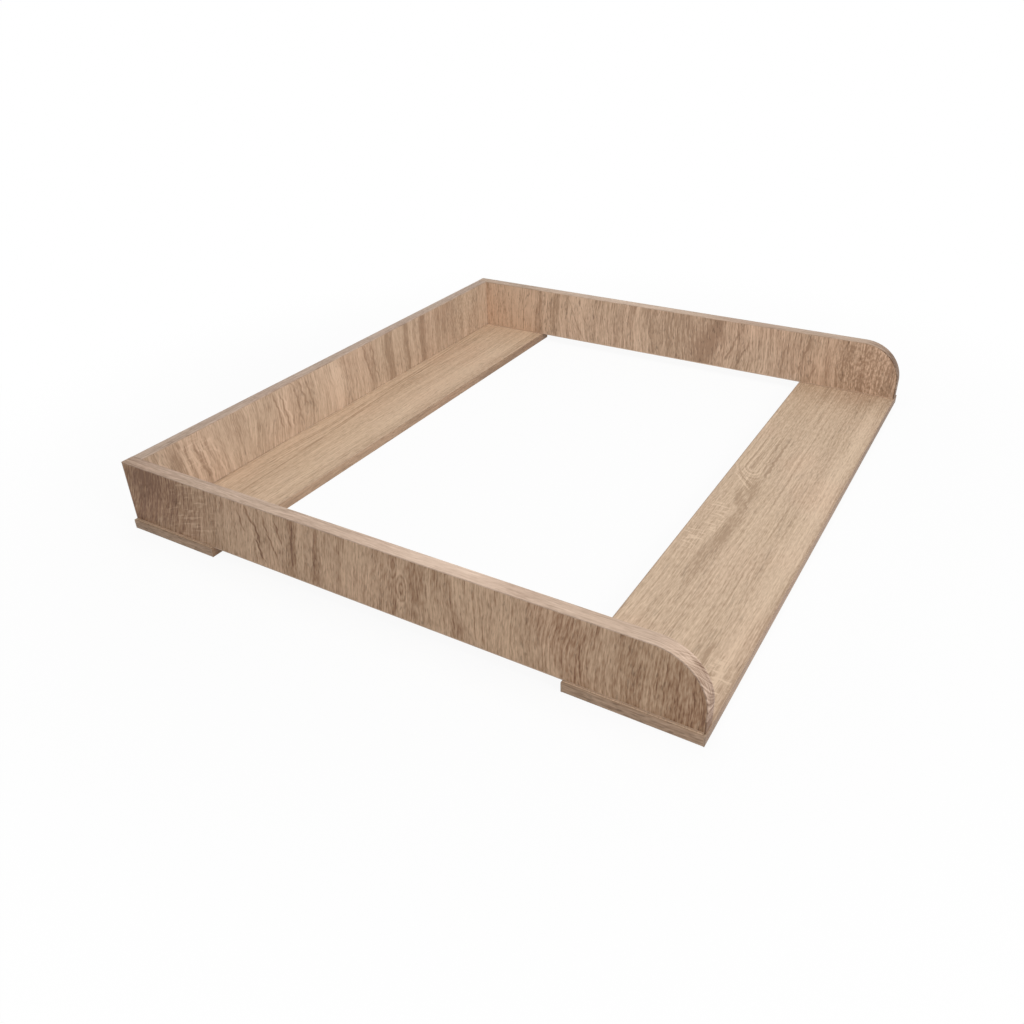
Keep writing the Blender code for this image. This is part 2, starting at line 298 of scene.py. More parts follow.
# Takes a crack's place to a stretch of the noise of its own
SWING_SPREAD = 90.0
# Shares of a crack's width and of half its length
CRACK_CORE = 0.3
CRACK_FULL = 0.5


def crack(at, half, width, tone, lean=0.0, waver=0.0):
    """One thin line that may lean and waver, fading at both ends."""
    def draw(grain):
        rise = grain.minus(grain.v, at[1])
        off = grain.minus(grain.bent, grain.plus(grain.times(rise, lean), at[0]))
        if waver:
            place = grain.times(rise, SWING_CELLS), at[0] * SWING_SPREAD
            swing = grain.noise(*place, grain.seed + SWING_OFFSET, detail=1.0)
            off = grain.plus(off, grain.times(swing, waver))
        line = grain.ramp(grain.math("ABSOLUTE", off), width * CRACK_CORE, width, 1.0, 0.0)
        ends = grain.ramp(grain.math("ABSOLUTE", rise), half * CRACK_FULL, half, 1.0, 0.0)
        return grain.times(grain.times(line, ends), tone)
    return draw


FLECK_OFFSET = 71.0
FLECK_DETAIL = 1.5
# The noise where a fleck begins, and where it is full
FLECK_FROM = 0.03
FLECK_FULL = 0.16


def flecks(at, size, tone, cells=(48.0, 240.0), slant=0.0):
    """Short light dashes across the grain, where the saw met the wood's rays."""
    def draw(grain):
        along = grain.plus(grain.v, grain.times(grain.u, slant))
        spots = grain.cells(grain.u, along, cells, FLECK_OFFSET, FLECK_DETAIL)
        spots = grain.ramp(spots, FLECK_FROM, FLECK_FULL)
        return grain.times(grain.times(spots, grain.patch(at, size)), tone)
    return draw


CROSS_OFFSET = 91.0
CROSS_CELLS = (40.0, 330.0)
CROSS_FADE = 0.060
# The lines' slant, first and last, and the places where it changes, from where the lines start
FIRST_SLANT = -1.7
LAST_SLANT = -0.2
FIRST_ENDS = 0.055
LAST_STARTS = 0.105


def cross_lines(start, tone):
    """Fine lines across the grain, from one place along it onwards: slanting first, then straight."""
    def draw(grain):
        places = start + FIRST_ENDS, start + LAST_STARTS
        slant = grain.ramp(grain.v, *places, FIRST_SLANT, LAST_SLANT)
        along = grain.plus(grain.v, grain.times(grain.bent, slant))
        lines = grain.cells(grain.u, along, CROSS_CELLS, CROSS_OFFSET)
        fade = grain.ramp(grain.v, start, start + CROSS_FADE)
        return grain.times(grain.times(lines, NOISE_GAIN * tone), fade)
    return draw


# Share of the painted edge shade's width that has its full tone
EDGE_SHADE_FULL = 0.6
TAPER_LENGTH = 0.350


def painted_edge_shade(edge, width, tone, taper):
    """A strip of painted shade along one edge of a board, standing in for the shading of its rounded
    edge; it gets narrower from its middle towards one end.
    """
    def draw(grain):
        inwards = grain.math("ABSOLUTE", grain.minus(grain.u, edge))
        inwards = grain.plus(inwards, grain.ramp(grain.v, 0.0, TAPER_LENGTH, 0.0, taper))
        return grain.times(grain.ramp(inwards, width * EDGE_SHADE_FULL, width, 1.0, 0.0), tone)
    return draw


ROUGH_OFFSET = 83.0
ROUGH_CELLS = (420.0, 190.0)


def rough(at, size, tone):
    """A patch of coarse, dense, short marks."""
    def draw(grain):
        marks = grain.cells(grain.bent, grain.v, ROUGH_CELLS, ROUGH_OFFSET)
        return grain.times(grain.times(marks, NOISE_GAIN * tone), grain.patch(at, size))
    return draw


# The grain of the panels is upright: along it is Z, and across it is Y, or X on the back panel
NEAR_FIGURES = (
    zone((0.345, 0.05), (0.075, 0.12), -0.70),
    zone((0.352, 0.05), (0.045, 0.12), -0.70),
    flecks((0.262, 0.055), (0.060, 0.055), 0.85, (45.0, 270.0), slant=0.35),
    zone((0.255, 0.055), (0.068, 0.12), -0.90),
    zone((0.226, 0.055), (0.013, 0.12), 0.50),
    zone((0.200, 0.065), (0.030, 0.06), 0.20),
    crack((0.172, 0.066), 0.016, 0.0020, -1.2, 0.45, 0.012),
    crack((0.160, 0.076), 0.014, 0.0024, -1.4, 0.50, 0.012),
    crack((0.152, 0.058), 0.016, 0.0022, -1.3, 0.40, 0.012),
    crack((0.147, 0.034), 0.018, 0.0024, -1.4, 0.45, 0.012),
    crack((0.138, 0.072), 0.014, 0.0020, -1.3, 0.50, 0.012),
    crack((0.131, 0.046), 0.018, 0.0020, -1.4, 0.50, 0.012),
    crack((0.120, 0.066), 0.018, 0.0018, -1.1, 0.40, 0.012),
    crack((0.154, 0.046), 0.018, 0.0020, 0.9, 0.45, 0.012),
    crack((0.126, 0.060), 0.018, 0.0020, 0.8, 0.45, 0.012),
    zone((0.100, 0.05), (0.007, 0.12), -0.7),
    zone((0.072, 0.05), (0.006, 0.12), -0.6),
    zone((0.040, 0.05), (0.006, 0.12), -0.6),
    zone((0.010, 0.04), (0.030, 0.09), 0.35),
    rings((-0.041, 0.052), 0.013, 1.6, 0.0036, stretch=0.42),
    rings((-0.030, 0.078), 0.009, 1.2, 0.0030),
    zone((-0.050, 0.045), (0.012, 0.045), -0.5, 0.1),
    zone((-0.031, 0.05), (0.005, 0.10), -0.7),
    zone((-0.062, 0.068), (0.016, 0.045), -0.75, 0.15),
    zone((-0.103, 0.050), (0.020, 0.10), -0.65, 0.25),
    crack((-0.133, 0.050), 0.036, 0.0012, -0.9, 0.05),
    crack((-0.141, 0.045), 0.030, 0.0010, -0.7, 0.10),
    rings((-0.226, 0.030), 0.030, 0.7, 0.0040, opens=1, stretch=0.5),
    zone((-0.232, 0.055), (0.022, 0.09), -0.45, 0.2),
    crack((-0.246, 0.045), 0.030, 0.0012, -0.9, 0.08),
    zone((-0.345, 0.035), (0.040, 0.075), -0.8),
    zone((-0.290, 0.050), (0.060, 0.100), -0.30),
    zone((-0.130, 0.050), (0.090, 0.120), 0.25),
    zone((0.330, 0.080), (0.050, 0.030), -0.4),
)
FAR_FIGURES = (
    zone((0.270, 0.05), (0.130, 0.20), 0.55),
    zone((0.240, 0.05), (0.011, 0.12), -0.9),
    zone((0.205, 0.05), (0.008, 0.12), -0.9),
    zone((0.160, 0.070), (0.030, 0.050), 0.5),
    crack((0.165, 0.050), 0.040, 0.0018, -1.0, 0.45, 0.010),
    crack((0.150, 0.065), 0.026, 0.0016, -0.8, 0.40, 0.010),
    zone((-0.025, 0.05), (0.040, 0.12), -0.40),
    zone((-0.072, 0.045), (0.017, 0.090), -1.05, -0.27),
    crack((-0.110, 0.050), 0.030, 0.0022, -1.0, -0.36, 0.010),
    crack((-0.128, 0.040), 0.030, 0.0020, -1.0, -0.36, 0.010),
    crack((-0.152, 0.050), 0.026, 0.0018, -0.7, -0.20, 0.010),
    crack((-0.198, 0.040), 0.030, 0.0018, -0.9, -0.15, 0.010),
    crack((-0.232, 0.055), 0.036, 0.0024, -1.3, -0.28, 0.010),
    crack((-0.226, 0.035), 0.024, 0.0018, 0.9, -0.28, 0.010),
    crack((-0.246, 0.030), 0.020, 0.0018, -0.9, -0.25, 0.010),
    rough((-0.325, 0.045), (0.062, 0.085), 1.3),
    zone((-0.330, 0.04), (0.055, 0.09), -0.55),
    rough((0.320, 0.05), (0.050, 0.075), 0.5),
)
BACK_FIGURES = (
    flecks((-0.300, 0.060), (0.040, 0.045), 0.5),
    zone((-0.328, 0.072), (0.011, 0.045), -1.0),
    crack((-0.345, 0.055), 0.036, 0.0026, 0.7, -0.10, 0.012),
    crack((-0.320, 0.052), 0.036, 0.0028, 1.0, -0.10, 0.012),
    crack((-0.312, 0.052), 0.034, 0.0026, -0.8, -0.10, 0.012),
    crack((-0.304, 0.048), 0.036, 0.0028, 1.0, -0.12, 0.012),
    crack((-0.296, 0.048), 0.034, 0.0026, -0.8, -0.12, 0.012),
    crack((-0.287, 0.044), 0.036, 0.0028, 1.0, -0.14, 0.012),
    crack((-0.278, 0.044), 0.034, 0.0026, -0.6, -0.14, 0.012),
    crack((-0.268, 0.038), 0.034, 0.0028, 0.8, -0.16, 0.012),
    zone((-0.240, 0.075), (0.030, 0.040), -0.35),
    crack((-0.164, 0.060), 0.036, 0.0024, -1.0, -0.28, 0.012),
    crack((-0.157, 0.058), 0.034, 0.0022, 0.9, -0.28, 0.012),
    crack((-0.149, 0.052), 0.036, 0.0024, -1.1, -0.30, 0.012),
    crack((-0.142, 0.050), 0.034, 0.0022, 0.8, -0.30, 0.012),
    crack((-0.124, 0.060), 0.036, 0.0024, -1.0, -0.25, 0.012),
    crack((-0.112, 0.066), 0.026, 0.0022, -0.9, -0.25, 0.012),
    crack((-0.100, 0.060), 0.030, 0.0022, -0.9, -0.22, 0.012),
    zone((-0.035, 0.045), (0.028, 0.055), 0.65),
    crack((0.045, 0.060), 0.034, 0.0024, -0.9, -0.20, 0.012),
    crack((0.062, 0.060), 0.034, 0.0024, -0.9, -0.15, 0.012),
    zone((0.098, 0.05), (0.012, 0.12), -0.9),
    zone((0.138, 0.05), (0.009, 0.12), -0.8),
    zone((0.180, 0.05), (0.010, 0.12), -0.9),
    zone((0.218, 0.05), (0.009, 0.12), -0.7),
    rough((0.310, 0.05), (0.080, 0.08), 0.6),
    zone((0.260, 0.070), (0.070, 0.060), -0.35),
)
# On the base boards, along the grain is X, and across it is Y
FRONT_FIGURES_AND_PAINTED_LIGHT = (
    rings((-0.250, 0.080), 0.026, 2.2, 0.0036, opens=1, stretch=0.8, skew=0.5, length=0.150),
    crack((-0.250, 0.040), 0.022, 0.0020, 1.0, 0.80, 0.010),
    crack((-0.250, 0.047), 0.020, 0.0020, -1.1, 0.80, 0.010),
    crack((-0.249, 0.055), 0.018, 0.0018, 0.8, 0.80, 0.010),
    crack((-0.271, 0.110), 0.070, 0.0022, -1.3, 0.02, 0.010),
    crack((-0.263, 0.120), 0.060, 0.0016, -1.0, 0.05, 0.010),
    zone((-0.266, 0.030), (0.012, 0.034), -0.8, 0.20),
    zone((-0.260, -0.002), (0.009, 0.036), -0.8, 0.32),
    crack((-0.273, -0.008), 0.024, 0.0022, -1.2, 0.10, 0.012),
    zone((-0.271, -0.070), (0.011, 0.060), -0.85),
    zone((-0.267, -0.140), (0.014, 0.080), -0.6, -0.05),
    flecks((-0.245, -0.075), (0.024, 0.095), 1.1, (60.0, 250.0)),
    flecks((-0.345, -0.335), (0.026, 0.050), 1.3, (60.0, 220.0)),
    # Painted highlight: a light line along the ledge top beside the near panel, which would otherwise
    # lie in the panel's shade
    zone((0.0, -0.398), (0.600, 0.0024), 0.9),
    crack((-0.300, 0.100), 0.200, 0.0014, -0.6, 0.01),
    crack((-0.318, -0.100), 0.180, 0.0012, -0.6, -0.02),
    crack((-0.330, -0.300), 0.030, 0.0040, -1.1, 0.0, 0.012),
    crack((-0.343, -0.330), 0.012, 0.0034, -1.2, 0.0, 0.012),
    zone((-0.350, 0.0), (0.020, 0.400), 0.35),
    zone((-0.290, 0.420), (0.200, 0.130), -0.7),
    # Painted shade along the rounded front edge of the board, narrower towards its far end
    painted_edge_shade(-0.3648, 0.0028, -0.85, 0.0022),
)
REAR_FIGURES_AND_HIGHLIGHT = (
    rings((0.327, -0.020), 0.012, 1.1, 0.0040, opens=-1, stretch=0.16, length=0.260),
    crack((0.322, 0.040), 0.150, 0.0018, -1.1, 0.05),
    crack((0.334, 0.160), 0.160, 0.0016, -1.1, 0.06),
    crack((0.312, -0.090), 0.110, 0.0016, -1.0, 0.06),
    crack((0.345, 0.250), 0.120, 0.0014, -0.8, 0.04),
    crack((0.304, -0.200), 0.130, 0.0014, -0.8, 0.05),
    zone((0.262, 0.0), (0.026, 0.500), 0.40),
    zone((0.240, 0.0), (0.012, 0.500), -0.2),
    # Painted highlight: a light line along the ledge top beside the near panel, which would otherwise
    # lie in the panel's shade
    zone((0.0, -0.398), (0.600, 0.0024), 0.9),
)


# The oak decor

# The measured places of a strip, kept as an attribute of its mesh
STRIP_AXES = "grain"
PRINT_DEPTH = 0.1 * MM
ROUND = 0.5 * MM

# How far each layer of the grain moves the tone
BROAD_TONE = 1.4
VEIN_TONE = 1.4
STREAK_TONE = 2.2
FIBRE_TONE = 2.4
DASH_TONE = 2.0

# A palette's middle colour is at tone 0, the dark one at -1 and the light one at 1
TONE_STEP = 0.3
MIDDLE = 0.5

# A range is for a ramp: two values, and the two that they are taken to, or else 0 and 1

# Casts that come and go over a board with a drifting noise, and how their shares follow it
DRIFT = (9.0, 7.0), 29.0
GREYISH = linear(184, 184, 178)
GREYISH_RANGE = (-0.05, 0.25, 0.0, 0.25)
ROSY = linear(196, 178, 176)
ROSY_RANGE = (-0.25, 0.05, 0.30, 0.0)

BROAD_PITS = 0.35
PORE_RANGE = (0.12, 0.22)
PORE_DARKENS = 0.22
PORE_ROUGHENS = 0.12
ROUGHNESS_RANGE = (-0.2, 0.2, 0.48, 0.60)
SPECULAR = 0.3
FIBRE_RELIEF = 0.5
PORE_RELIEF = 0.8
RELIEF_STRENGTH = 0.4
RELIEF_HEIGHT = 0.1 * MM


def place_on_board(graph, axes):
    """Return the place across and along the grain, and how deep it is under a strip's face.

    The axes are two axes of the tray, across and along, or the strip's own measured places.
    """
    if axes == STRIP_AXES:
        attribute = graph.add("ShaderNodeAttribute", attribute_name=STRIP_AXES)
        return graph.split(attribute.outputs["Vector"])
    coordinates = graph.add("ShaderNodeTexCoord")
    place = graph.split(coordinates.outputs["Object"])
    return place[axes[0]], place[axes[1]], None


def decor_tone(grain, bands, dash, contrast, figures):
    """Return the tone of the decor, which is darker below zero and lighter above it."""
    tone = grain.times(grain.broad, BROAD_TONE * bands)
    tone = grain.plus(tone, grain.times(grain.weave(*VEINS), VEIN_TONE))
    tone = grain.plus(tone, grain.times(grain.streaks, STREAK_TONE))
    tone = grain.plus(tone, grain.times(grain.fibres, FIBRE_TONE))
    dashes = grain.weave(*DASHES, DASH_DETAIL, stretched=False)
    tone = grain.plus(tone, grain.times(dashes, DASH_TONE * dash))
    tone = grain.times(tone, contrast)
    for figure in figures:
        tone = grain.plus(tone, figure(grain))
    return tone


def palette_colour(grain, tone, palette, deep):
    """Return the palette's colour for a tone."""
    dark, mid, light = palette
    shade = grain.math("MULTIPLY_ADD", tone, TONE_STEP, MIDDLE, clamp=True)
    stops = (
        (0.0, deep or dark),
        (MIDDLE - TONE_STEP, dark),
        (MIDDLE, mid),
        (MIDDLE + TONE_STEP, light),
    )
    return grain.colours(shade, stops)


def tinted(grain, colour):
    """Return the colour with its greyish and its rosy cast."""
    drift = grain.cells(grain.u, grain.v, *DRIFT)
    for cast, cast_range in ((GREYISH, GREYISH_RANGE), (ROSY, ROSY_RANGE)):
        colour = grain.mix(grain.ramp(drift, *cast_range), colour, (*cast, 1.0), "SOFT_LIGHT")
    return colour


def printed_pores(grain, contrast):
    """Return how much of a pore there is at each place."""
    pits = grain.minus(grain.weave(*PITS, PIT_DETAIL), grain.times(grain.broad, BROAD_PITS))
    return grain.times(grain.ramp(pits, *PORE_RANGE), contrast)


def set_surface(grain, shader, pores):
    """Make the streaks more or less rough, the pores rougher, and emboss the fibres and pores."""
    roughness = grain.ramp(grain.streaks, *ROUGHNESS_RANGE)
    roughness = grain.plus(roughness, grain.times(pores, PORE_ROUGHENS))
    grain.feed(roughness, shader.inputs["Roughness"])
    shader.inputs["Specular IOR Level"].default_value = SPECULAR
    relief = grain.minus(grain.times(grain.fibres, FIBRE_RELIEF), grain.times(pores, PORE_RELIEF))
    bump = grain.add("ShaderNodeBump")
    bump.inputs["Strength"].default_value = RELIEF_STRENGTH
    bump.inputs["Distance"].default_value = RELIEF_HEIGHT
    grain.feed(relief, bump.inputs["Height"])
    grain.feed(bump.outputs[0], shader.inputs["Normal"])


def oak(
    name, axes, palette, seed, figures=(), contrast=1.0, sway=1.0, bands=1.0, stretch=1.0, fan=0.0,
    dash=0.8, core=None, deep=None,
):
    """Return a printed oak decor: bands, streaks and fibres along the grain, pores and figures.

    A strip can have a core colour, seen where it is cut past its printed face, and a board a deep
    colour for what is darker than its dark one.
    """
    material, graph, shader = new_material(name)
    u, v, depth = place_on_board(graph, axes)
    grain = Grain(material.node_tree, u, v, seed, sway, fan, stretch)
    tone = decor_tone(grain, bands, dash, contrast, figures)
    colour = palette_colour(grain, tone, palette, deep)
    if core:
        past_print = grain.ramp(depth, PRINT_DEPTH, PRINT_DEPTH + ROUND)
        colour = grain.mix(past_print, colour, (*core, 1.0))
    colour = tinted(grain, colour)
    pores = printed_pores(grain, contrast)
    dimmed = grain.minus(1.0, grain.times(pores, PORE_DARKENS))
    colour = grain.mix(1.0, colour, grain.join(dimmed, dimmed, dimmed), "MULTIPLY")
    grain.feed(colour, shader.inputs["Base Color"])
    set_surface(grain, shader, pores)
    return material


# How much more of the spread the green and the blue of a dark colour have than its red
MORE_GREEN = 0.18
MORE_BLUE = 0.35
# The shares of the spread that the red, green and blue of a light colour have
LIGHT_SHARES = (0.75, 0.85, 0.95)


def shades(red, green, blue, spread=0.17, brown=1.0):
    """Return the dark, middle and light colour of a decor, browner in the dark."""
    dark = linear(
        red * (1 - spread),
        green * (1 - spread * (1 + MORE_GREEN * brown)),
        blue * (1 - spread * (1 + MORE_BLUE * brown)),
    )
    light = [value * (1 + spread * share) for value, share in zip((red, green, blue), LIGHT_SHARES)]
    return dark, linear(red, green, blue), linear(*light)


def wide_shades(red, green, blue, dark_spread, light_spread):
    """Return the three colours of a decor with a spread of its own for the dark one."""
    dark = shades(red, green, blue, dark_spread)[0]
    return (dark, *shades(red, green, blue, light_spread)[1:])


NEAR_PANEL = shades(190, 159, 131, brown=2.0)
NEAR_PANEL_DEEP = linear(124, 89, 64)
FAR_PANEL = shades(192, 163, 138)
BACK_PANEL = shades(185, 160, 137)
FRONT_BASE = shades(193, 168, 143, 0.14)
REAR_BASE = shades(193, 167, 141, 0.14)
NEAR_WRAP = wide_shades(196, 171, 151, 0.42, 0.28)
FAR_WRAP = wide_shades(178, 154, 134, 0.42, 0.30)
# The foot band's pale colour is partly its own and partly a painted highlight, for the light line
# along each ledge
FOOT_BAND_WITH_HIGHLIGHT = shades(199, 172, 149, 0.12)
BACK_BAND = shades(175, 153, 136, 0.16)
FRONT_LONG_EDGE = shades(142, 117, 97, 0.15)
REAR_LONG_EDGE = shades(161, 133, 109, 0.15)
LONG_EDGE_CORE = linear(176, 152, 130)
BASE_END = shades(178, 150, 126)
BASE_END_CORE = linear(160, 135, 113)


def dress(nodes, material):
    """Give every slot of the named CAD nodes one material."""
    for node in nodes:
        for slot in NODES[node].material_slots:
            slot.material = material


def dress_panels():
    """Give each upright panel its own stretch of the oak decor."""
    near = oak(
        "left_panel_oak", (Y, Z), NEAR_PANEL, seed=1.0, figures=NEAR_FIGURES, contrast=1.2,
        bands=0.8, fan=0.43, dash=1.2, deep=NEAR_PANEL_DEEP,
    )
    dress(["left_side_panel"], near)
    far = oak("right_panel_oak", (Y, Z), FAR_PANEL, seed=5.0, figures=FAR_FIGURES, contrast=1.4)
    dress(["right_side_panel"], far)
    back = oak("back_panel_oak", (X, Z), BACK_PANEL, seed=9.0, figures=BACK_FIGURES, sway=1.4)
    dress(["back_panel"], back)


def dress_bases():
    """Give each base board a stretch of the decor with a straighter and longer grain."""
    straight = {"sway": 0.25, "bands": 0.7, "stretch": 3.0}
    front = oak(
        "front_base_oak", (Y, X), FRONT_BASE, seed=13.0, figures=FRONT_FIGURES_AND_PAINTED_LIGHT, contrast=0.85,
        dash=1.6, **straight,
    )
    dress(["front_base_board"], front)
    rear = oak(
        "rear_base_oak", (Y, X), REAR_BASE, seed=17.0, figures=REAR_FIGURES_AND_HIGHLIGHT, contrast=0.95,
        dash=1.2, **straight,
    )
    dress(["rear_base_board"], rear)


# New pieces

SHARP_ANGLE = math.radians(40)


def new_piece(name, mesh, material, node=None):
    """Turn a mesh into a piece that rides on the tray, in place of a CAD node where one is named."""
    bmesh.ops.recalc_face_normals(mesh, faces=mesh.faces)
    data = bpy.data.meshes.new(name)
    mesh.to_mesh(data)
    mesh.free()
    data.shade_smooth()
    data.set_sharp_from_angle(angle=SHARP_ANGLE)
    data.materials.append(material)
    piece = bpy.data.objects.new(name, data)
    bpy.context.scene.collection.objects.link(piece)
    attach(piece, "root")
    if node:
        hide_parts(node)


def join_rows(mesh, rows):
    """Close a tube of vertex rows, with a face at each end."""
    count = len(rows[0])
    for before, after in zip(rows, rows[1:]):
        for i in range(count):
            j = (i + 1) % count
            mesh.faces.new((before[i], before[j], after[j], after[i]))
    mesh.faces.new(rows[0])
    mesh.faces.new(reversed(rows[-1]))


# Edge bands

ROUND_STEPS = 3
ARC_STEPS = 20
TOLERANCE = 0.01 * MM


def strip(node, material, route, inward, across, half, thick):
    """Replace a band by one swept along a route, with its two outer edges rounded.

    The route holds points in the middle of the outer face, and inward the direction into the board
    at each. Across is the unit vector over the width, and half is half the width. The places across,
    along and under the outer face are kept as the attribute "grain".
    """
    corner = [math.radians(90 * step / ROUND_STEPS) for step in range(ROUND_STEPS + 1)]
    left = [(-half + ROUND * (1 - math.sin(a)), ROUND * (1 - math.cos(a))) for a in reversed(corner)]
    profile = [(-half, thick)] + left + [(-w, d) for w, d in reversed(left)] + [(half, thick)]
    mesh = bmesh.new()
    grain = mesh.verts.layers.float_vector.new(STRIP_AXES)
    rows = []
    gone = 0.0
    for index, (point, way) in enumerate(zip(route, inward)):
        if index:
            gone += (point - route[index - 1]).length
        row = []
        for w, d in profile:
            vert = mesh.verts.new(point + across * w + way * d)
            vert[grain] = (w, gone, d)
            row.append(vert)
        rows.append(row)
    join_rows(mesh, rows)
    new_piece(node.replace("_band", "_edging"), mesh, material, node)


def axis_vector(axis, sign=1.0):
    """Return a unit vector along an axis."""
    vector = Vector((0.0, 0.0, 0.0))
    vector[axis] = sign
    return vector


def straight_band(node, board, length_axis, thick_axis, material, low_end=None, outer=None):
    """Replace a straight band by one that closes the glue gap to its board.

    Its low end and its outer face can be set, to meet another board.
    """
    low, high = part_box(node)
    board_low, board_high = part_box(board)
    width_axis = X + Y + Z - length_axis - thick_axis
    outside_low = low[thick_axis] < board_low[thick_axis]
    inner = board_low[thick_axis] if outside_low else board_high[thick_axis]
    if outer is None:
        outer = low[thick_axis] if outside_low else high[thick_axis]
    if low_end is None:
        low_end = low[length_axis]
    middle = (low + high) / 2
    route = []
    for end in (low_end, high[length_axis]):
        point = middle.copy()
        point[length_axis] = end
        point[thick_axis] = outer
        route.append(point)
    way = axis_vector(thick_axis, 1.0 if outside_low else -1.0)
    half = (high[width_axis] - low[width_axis]) / 2
    strip(node, material, route, [way, way], axis_vector(width_axis), half, abs(inner - outer))


def corner_radius(board, board_low, board_high):
    """Return the radius of a side panel's front corner, read off where its top edge ends."""
    mesh = NODES[board].data
    top = [vert.co.y for vert in mesh.vertices if vert.co.z > board_high.z - TOLERANCE]
    return min(top) - board_low.y


def wrapped_band(node, board, base_top, material):
    """Replace the band that runs over the top, round the front corner and down the front."""
    low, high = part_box(node)
    board_low, board_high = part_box(board)
    thick = high.z - board_high.z
    radius = corner_radius(board, board_low, board_high) + thick
    centre_y = low.y + radius
    centre_z = high.z - radius
    middle_x = (low.x + high.x) / 2
    route = [Vector((middle_x, high.y, high.z))]
    inward = [Vector((0.0, 0.0, -1.0))]
    for step in range(ARC_STEPS + 1):
        angle = math.radians(90 * step / ARC_STEPS)
        away = Vector((0.0, -math.sin(angle), math.cos(angle)))
        route.append(Vector((middle_x, centre_y, centre_z)) + away * radius)
        inward.append(-away)
    route.append(Vector((middle_x, low.y, base_top)))
    inward.append(Vector((0.0, 1.0, 0.0)))
    half = (high.x - low.x) / 2
    strip(node, material, route, inward, axis_vector(X), half, thick)


# Figures of the bands, whose grain runs along them: the top bands' starts at the rear. The wrapped
# bands also get painted shade on their arc and front upright.
CROSS_START = 0.665
WRAP_FIGURES_AND_SHADE = (
    cross_lines(CROSS_START, 0.55),
    # Painted shade on the lower arc and the front upright of the wrapped bands, darker towards the
    # bottom
    zone((0.0, 0.732), (0.05, 0.030), -0.45),
    zone((0.0, 0.786), (0.05, 0.050), -0.80),
    zone((0.0, 0.781), (0.05, 0.013), -0.55),
)
NEAR_WRAP_FIGURES = (
    zone((0.0, 0.0), (0.05, 0.24), -0.40),
    zone((0.0, 0.0), (0.05, 0.06), -0.20),
    zone((0.0, 0.275), (0.05, 0.11), -0.25),
    zone((0.0, 0.460), (0.05, 0.08), 0.35),
)
FAR_WRAP_FIGURES_AND_SHADE = (
    zone((0.0, 0.285), (0.05, 0.20), 0.55),
    # Painted shade on the far band's lower arc
    zone((0.0, 0.720), (0.05, 0.050), -0.60),
)
LONG_EDGE_FIGURES = (
    zone((0.0, 0.0), (0.03, 0.07), -0.8),
    zone((0.0, 0.82), (0.03, 0.40), -0.8),
)
REAR_END_FIGURES = (zone((0.0, 0.130), (0.03, 0.05), -0.6),)


def band_oak(name, palette, seed, figures=(), contrast=1.0, sway=0.4, core=None):
    """Return the decor of a band, its grain along the strip."""
    return oak(name, STRIP_AXES, palette, seed, figures, contrast, sway, core=core)


def base_bands(base, end_seed, end_figures, long_palette, long_seed):
    """Replace the bands on the two ends and the two long edges of one base board."""
    board = f"{base}_base_board"
    end_oak = band_oak(
        f"{base}_end_oak", BASE_END, end_seed, end_figures, contrast=1.2, core=BASE_END_CORE
    )
    long_oak = band_oak(
        f"{base}_edge_oak", long_palette, long_seed, LONG_EDGE_FIGURES, core=LONG_EDGE_CORE
    )
    for edge in ("front", "rear"):
        straight_band(f"{base}_base_{edge}_band", board, X, Y, long_oak)
    for edge in ("left", "right"):
        straight_band(f"{base}_base_{edge}_band", board, Y, X, end_oak)


def panel_bands():
    """Replace the three bands of each side panel, and the back panel's top band."""
    base_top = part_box("front_base_board")[1].z
    near_wrap_figures_and_shade = WRAP_FIGURES_AND_SHADE + NEAR_WRAP_FIGURES
    near_oak = band_oak("top_band_oak", NEAR_WRAP, 25.0, near_wrap_figures_and_shade, contrast=0.4, sway=0.5)
    far_wrap_figures_and_shade = WRAP_FIGURES_AND_SHADE + FAR_WRAP_FIGURES_AND_SHADE
    far_oak = band_oak("far_band_oak", FAR_WRAP, 33.0, far_wrap_figures_and_shade, contrast=0.5, sway=0.5)
    foot_oak_with_highlight = band_oak("foot_band_oak", FOOT_BAND_WITH_HIGHLIGHT, 45.0, contrast=0.5)
    back_oak = band_oak("back_band_oak", BACK_BAND, 49.0, contrast=0.9)
    for side, top_oak in (("left", near_oak), ("right", far_oak)):
        board = f"{side}_side_panel"
        wrapped_band(f"{side}_side_top_band", board, base_top, top_oak)
        straight_band(f"{side}_side_bottom_band", board, Y, Z, foot_oak_with_highlight, outer=base_top)
        straight_band(f"{side}_side_rear_band", board, Z, Y, back_oak, low_end=base_top)
    straight_band("back_top_band", "back_panel", X, Z, back_oak)


# Screws and dowels

CLOUD_CELLS = 400.0
CLOUD_DETAIL = 3.0
TURNED_CELLS = (60.0, 60.0, 5000.0)
ZINC_STOPS = (0.3, linear(150, 152, 156)), (0.7, linear(196, 198, 202))
ZINC_ROUGHNESS_RANGE = (-0.3, 0.3, 0.25, 0.42)


def zinc_steel():
    """Return bright zinc plating with a faint cloudiness and fine turning marks."""
    material, graph, shader = new_material("zinc_steel")
    coordinates = graph.add("ShaderNodeTexCoord")
    place = graph.split(coordinates.outputs["Object"])
    cloud = graph.noise(*[graph.times(part, CLOUD_CELLS) for part in place], CLOUD_DETAIL)
    turned = graph.noise(*[graph.times(*pair) for pair in zip(place, TURNED_CELLS)], detail=1.0)
    tint = graph.colours(graph.plus(cloud, NOISE_MIDDLE), ZINC_STOPS)
    graph.feed(tint, shader.inputs["Base Color"])
    shader.inputs["Metallic"].default_value = 1.0
    roughness = graph.ramp(graph.plus(cloud, turned), *ZINC_ROUGHNESS_RANGE)
    graph.feed(roughness, shader.inputs["Roughness"])
    return material


